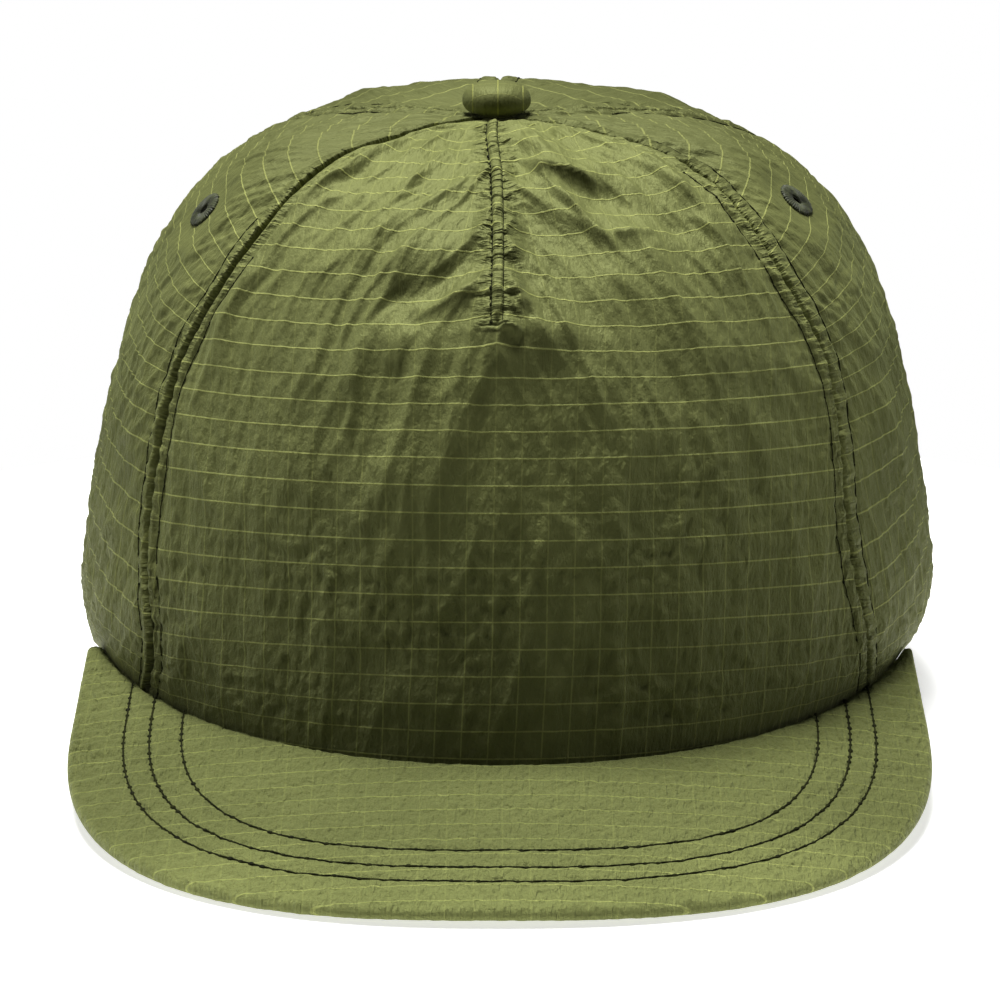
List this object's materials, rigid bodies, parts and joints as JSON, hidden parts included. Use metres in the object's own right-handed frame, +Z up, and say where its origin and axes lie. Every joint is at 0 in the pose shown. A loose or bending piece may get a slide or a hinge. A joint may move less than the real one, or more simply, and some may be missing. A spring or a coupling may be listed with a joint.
{
  "type": "flat bill cap",
  "caption": "Soft flat bill cap of ripstop cloth with a centre front dart, covered top button, stitched eyelets and a slightly arched bill.",
  "frame": {"origin": "middle of the cap's footprint, on the surface that it rests on", "axes": "+Z up, -Y towards the front edge of the bill, +X to the right as seen from the front"},
  "size_m": [0.1892, 0.2516, 0.1348],
  "materials": {
    "crown_cloth": "crinkled matte nylon ripstop, olive green with thin yellow green grid lines",
    "bill_cloth": "matte nylon ripstop, olive green with thin yellow green grid lines",
    "button_cloth": "matte nylon ripstop, olive green",
    "thread": "very dark green sewing thread"
  },
  "bodies": {
    "root": {"front_panel": "crown_cloth", "side_panel_left": "crown_cloth", "side_panel_right": "crown_cloth", "back_panel_left": "crown_cloth", "back_panel_right": "crown_cloth", "bill": "bill_cloth", "top_button": "button_cloth", "eyelet_left": "thread", "eyelet_right": "thread"}
  },
  "joints": []
}
